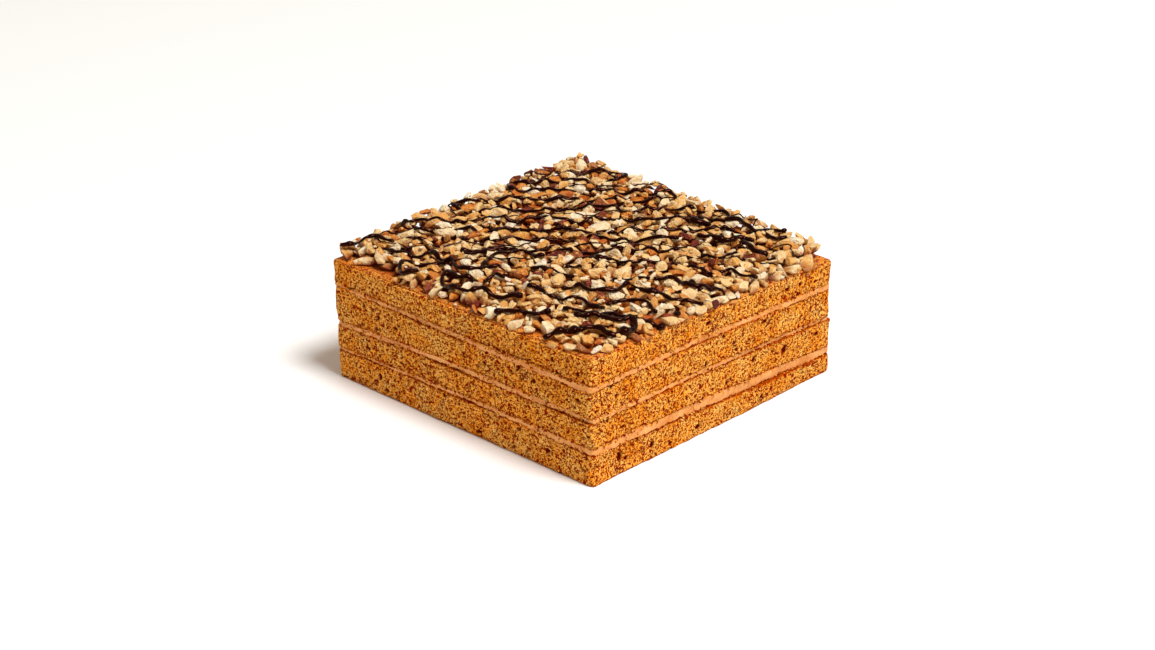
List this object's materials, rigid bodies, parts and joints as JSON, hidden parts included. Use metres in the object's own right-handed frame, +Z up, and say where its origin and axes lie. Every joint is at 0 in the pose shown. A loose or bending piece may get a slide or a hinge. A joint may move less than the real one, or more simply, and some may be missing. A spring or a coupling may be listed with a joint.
{
  "type": "medovik honey cake",
  "caption": "Square honey layer cake of porous sponges and caramel cream, its top covered with chopped nuts and a wavy dark chocolate drizzle.",
  "frame": {"origin": "middle of the cake's underside", "axes": "+Z up, X and Y along the cut sides; the drizzle runs along the diagonal from (-X, -Y) to (+X, +Y)"},
  "size_m": [0.1722, 0.1726, 0.071],
  "materials": {
    "sponge": "matt, porous honey sponge",
    "cream": "smooth, faintly glossy caramel cream",
    "nuts": "waxy broken nuts under glossy dark chocolate",
    "chocolate": "glossy dark chocolate"
  },
  "bodies": {
    "root": {"sponge_1": "sponge", "sponge_2": "sponge", "sponge_3": "sponge", "sponge_4": "sponge", "cream_1": "cream", "cream_2": "cream", "cream_3": "cream", "nut_topping": "nuts"}
  },
  "joints": []
}
